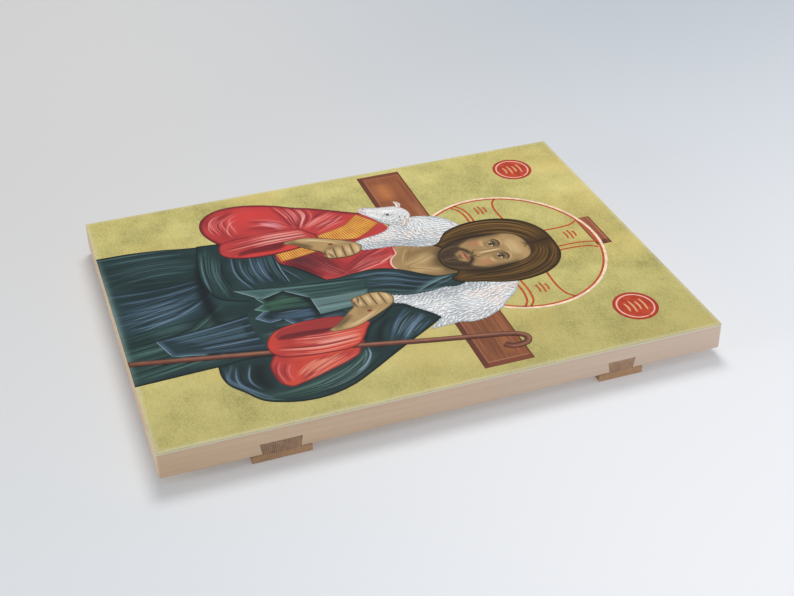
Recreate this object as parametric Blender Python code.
"""A painted icon panel: a lime wood board with a gesso ground on its face and two dovetailed battens across its back.

The panel lies face up on its battens. +Y points to the head of the picture, +X to its right side, and the
origin is on the surface that the battens stand on, under the middle of the panel. Everything is in metres.
"""

import bmesh
import bpy

# The wooden board, cut with its grain along the picture's height
PANEL_WIDTH = 0.300
PANEL_HEIGHT = 0.400
BOARD_THICKNESS = 0.019
CORNER_RADIUS = 0.0012
BACK_EDGE_RADIUS = 0.0010

# The gesso ground that the picture is painted on
GESSO_THICKNESS = 0.0012
GESSO_EDGE_RADIUS = 0.0005
GESSO_CLEARANCE = 0.0003

# The battens, each a dovetailed tongue on a wider foot. A tongue narrows from one end to the other.
TONGUE_WIDE_END = 0.028
TONGUE_NARROW_END = 0.020
TONGUE_DEPTH = 0.0085
TONGUE_UNDERCUT = 0.0015
FOOT_SHOULDER = 0.0064
FOOT_HEIGHT = 0.0060
FOOT_EDGE_RADIUS = 0.0006
BATTEN_CLEARANCE = 0.0003
BATTEN_END_SETBACK = 0.0002

# How far each batten's middle line lies from the picture's lower and upper edge
LOWER_BATTEN_PLACE = 0.080
UPPER_BATTEN_PLACE = 0.077

ROUNDING_SEGMENTS = 4
CUTTER_OVERHANG = 0.010

# Heights above the surface that the battens stand on
BOARD_BACK_Z = FOOT_HEIGHT
BOARD_FACE_Z = BOARD_BACK_Z + BOARD_THICKNESS
GESSO_BACK_Z = BOARD_FACE_Z + GESSO_CLEARANCE
GESSO_FACE_Z = GESSO_BACK_Z + GESSO_THICKNESS


def clear_scene():
    for obj in list(bpy.data.objects):
        bpy.data.objects.remove(obj)


def new_collection(name):
    collection = bpy.data.collections.new(name)
    bpy.context.scene.collection.children.link(collection)
    return collection


def plain_material(name, colour, roughness):
    material = bpy.data.materials.new(name)
    material.use_nodes = True
    surface = material.node_tree.nodes["Principled BSDF"]
    surface.inputs["Base Color"].default_value = (*colour, 1.0)
    surface.inputs["Roughness"].default_value = roughness
    surface.inputs["Metallic"].default_value = 0.0
    return material


def object_from(shape, name, collection, material=None):
    mesh = bpy.data.meshes.new(name)
    bmesh.ops.recalc_face_normals(shape, faces=shape.faces)
    shape.to_mesh(mesh)
    shape.free()
    obj = bpy.data.objects.new(name, mesh)
    collection.objects.link(obj)
    if material:
        mesh.materials.append(material)
    return obj


def round_edges(shape, edges, radius):
    bmesh.ops.bevel(
        shape,
        geom=edges,
        offset=radius,
        offset_type="OFFSET",
        affect="EDGES",
        segments=ROUNDING_SEGMENTS,
        profile=0.5,
        material=-1,
    )


def edges_beyond(shape, height, side):
    """The edges that lie wholly above a height where side is 1, and wholly below it where side is -1."""
    return [
        edge
        for edge in shape.edges
        if all(side * (vertex.co.z - height) > 0 for vertex in edge.verts)
    ]


def edges_across(shape, height):
    """The edges that run from below a height to above it."""
    return [
        edge
        for edge in shape.edges
        if (edge.verts[0].co.z > height) != (edge.verts[1].co.z > height)
    ]


def panel_slab(back_z, face_z, rounded_side, edge_radius):
    """A slab of the panel's outline with round corners, and a round rim on its face (1) or its back (-1)."""
    thickness = face_z - back_z
    middle_z = back_z + thickness / 2
    shape = bmesh.new()
    bmesh.ops.create_cube(shape, size=1.0)
    bmesh.ops.scale(shape, vec=(PANEL_WIDTH, PANEL_HEIGHT, thickness), verts=shape.verts)
    bmesh.ops.translate(shape, vec=(0, 0, middle_z), verts=shape.verts)
    round_edges(shape, edges_across(shape, middle_z), CORNER_RADIUS)
    round_edges(shape, edges_beyond(shape, middle_z, rounded_side), edge_radius)
    return shape


def tongue_width(x, wide_side):
    """A tongue's width at x. wide_side is 1 where its wide end is at the picture's right, and -1 at its left."""
    share_narrow = 0.5 - wide_side * x / PANEL_WIDTH
    return TONGUE_WIDE_END + share_narrow * (TONGUE_NARROW_END - TONGUE_WIDE_END)


def tongue_corners(width, clearance=0.0):
    """A tongue's two right corners, its root at the board's back and its top, as (out from the middle, height)."""
    root = (width / 2 - TONGUE_UNDERCUT + clearance, BOARD_BACK_Z - BATTEN_CLEARANCE)
    top = (width / 2 + clearance, BOARD_BACK_Z + TONGUE_DEPTH + clearance)
    return root, top


def mirrored_outline(right_half):
    """A closed outline from its right half, which runs from its lowest point to its highest."""
    return [*right_half, *((-out, height) for out, height in reversed(right_half))]


def batten_outline(width):
    foot_half = width / 2 + FOOT_SHOULDER
    foot = ((foot_half, 0.0), (foot_half, BOARD_BACK_Z - BATTEN_CLEARANCE))
    return mirrored_outline((*foot, *tongue_corners(width)))


def groove_outline(width):
    """The groove for a tongue, with the clearance round it. It runs on down past the board's back."""
    root, top = tongue_corners(width, BATTEN_CLEARANCE)
    slope = (top[0] - root[0]) / (top[1] - root[1])
    below = BOARD_BACK_Z - CUTTER_OVERHANG
    mouth = (root[0] + slope * (below - root[1]), below)
    return mirrored_outline((mouth, top))


def tapered_bar(outline, reach, middle_y, wide_side):
    """A bar from -reach to reach along X, lofted between its outlines at its two ends."""
    shape = bmesh.new()
    rims = []
    for x in (-reach, reach):
        corners = outline(tongue_width(x, wide_side))
        end = shape.faces.new([shape.verts.new((x, middle_y + out, height)) for out, height in corners])
        rims += end.edges
    bmesh.ops.bridge_loops(shape, edges=rims)
    return shape


def make_batten(name, middle_y, wide_side, collection, material):
    reach = PANEL_WIDTH / 2 - BATTEN_END_SETBACK
    shape = tapered_bar(batten_outline, reach, middle_y, wide_side)
    round_edges(shape, edges_beyond(shape, FOOT_HEIGHT / 2, -1), FOOT_EDGE_RADIUS)
    return object_from(shape, name, collection, material)


def make_groove_cutter(name, middle_y, wide_side, collection):
    reach = PANEL_WIDTH / 2 + CUTTER_OVERHANG
    shape = tapered_bar(groove_outline, reach, middle_y, wide_side)
    cutter = object_from(shape, name, collection)
    cutter.hide_render = True
    cutter.display_type = "WIRE"
    return cutter


def make_board(cutters, collection, material):
    shape = panel_slab(BOARD_BACK_Z, BOARD_FACE_Z, -1, BACK_EDGE_RADIUS)
    board = object_from(shape, "board", collection, material)
    for cutter in cutters:
        cut = board.modifiers.new(cutter.name, "BOOLEAN")
        cut.operation = "DIFFERENCE"
        cut.solver = "EXACT"
        cut.object = cutter
    return board


def make_gesso_ground(collection, material):
    shape = panel_slab(GESSO_BACK_Z, GESSO_FACE_Z, 1, GESSO_EDGE_RADIUS)
    return object_from(shape, "gesso_ground", collection, material)


def main():
    clear_scene()
    pieces = new_collection("painted icon")
    helpers = new_collection("groove cutters")
    lime_wood = plain_material("lime wood", (0.56, 0.43, 0.33), 0.62)
    batten_wood = plain_material("batten wood", (0.30, 0.18, 0.10), 0.60)
    gilded_gesso = plain_material("gilded gesso", (0.57, 0.50, 0.20), 0.45)

    # The two battens taper opposite ways, because each is driven in from its own side.
    battens = (
        ("lower_batten", LOWER_BATTEN_PLACE - PANEL_HEIGHT / 2, 1),
        ("upper_batten", PANEL_HEIGHT / 2 - UPPER_BATTEN_PLACE, -1),
    )
    cutters = []
    for name, middle_y, wide_side in battens:
        make_batten(name, middle_y, wide_side, pieces, batten_wood)
        cutters.append(make_groove_cutter(f"{name}_groove", middle_y, wide_side, helpers))
    make_board(cutters, pieces, lime_wood)
    make_gesso_ground(pieces, gilded_gesso)


main()
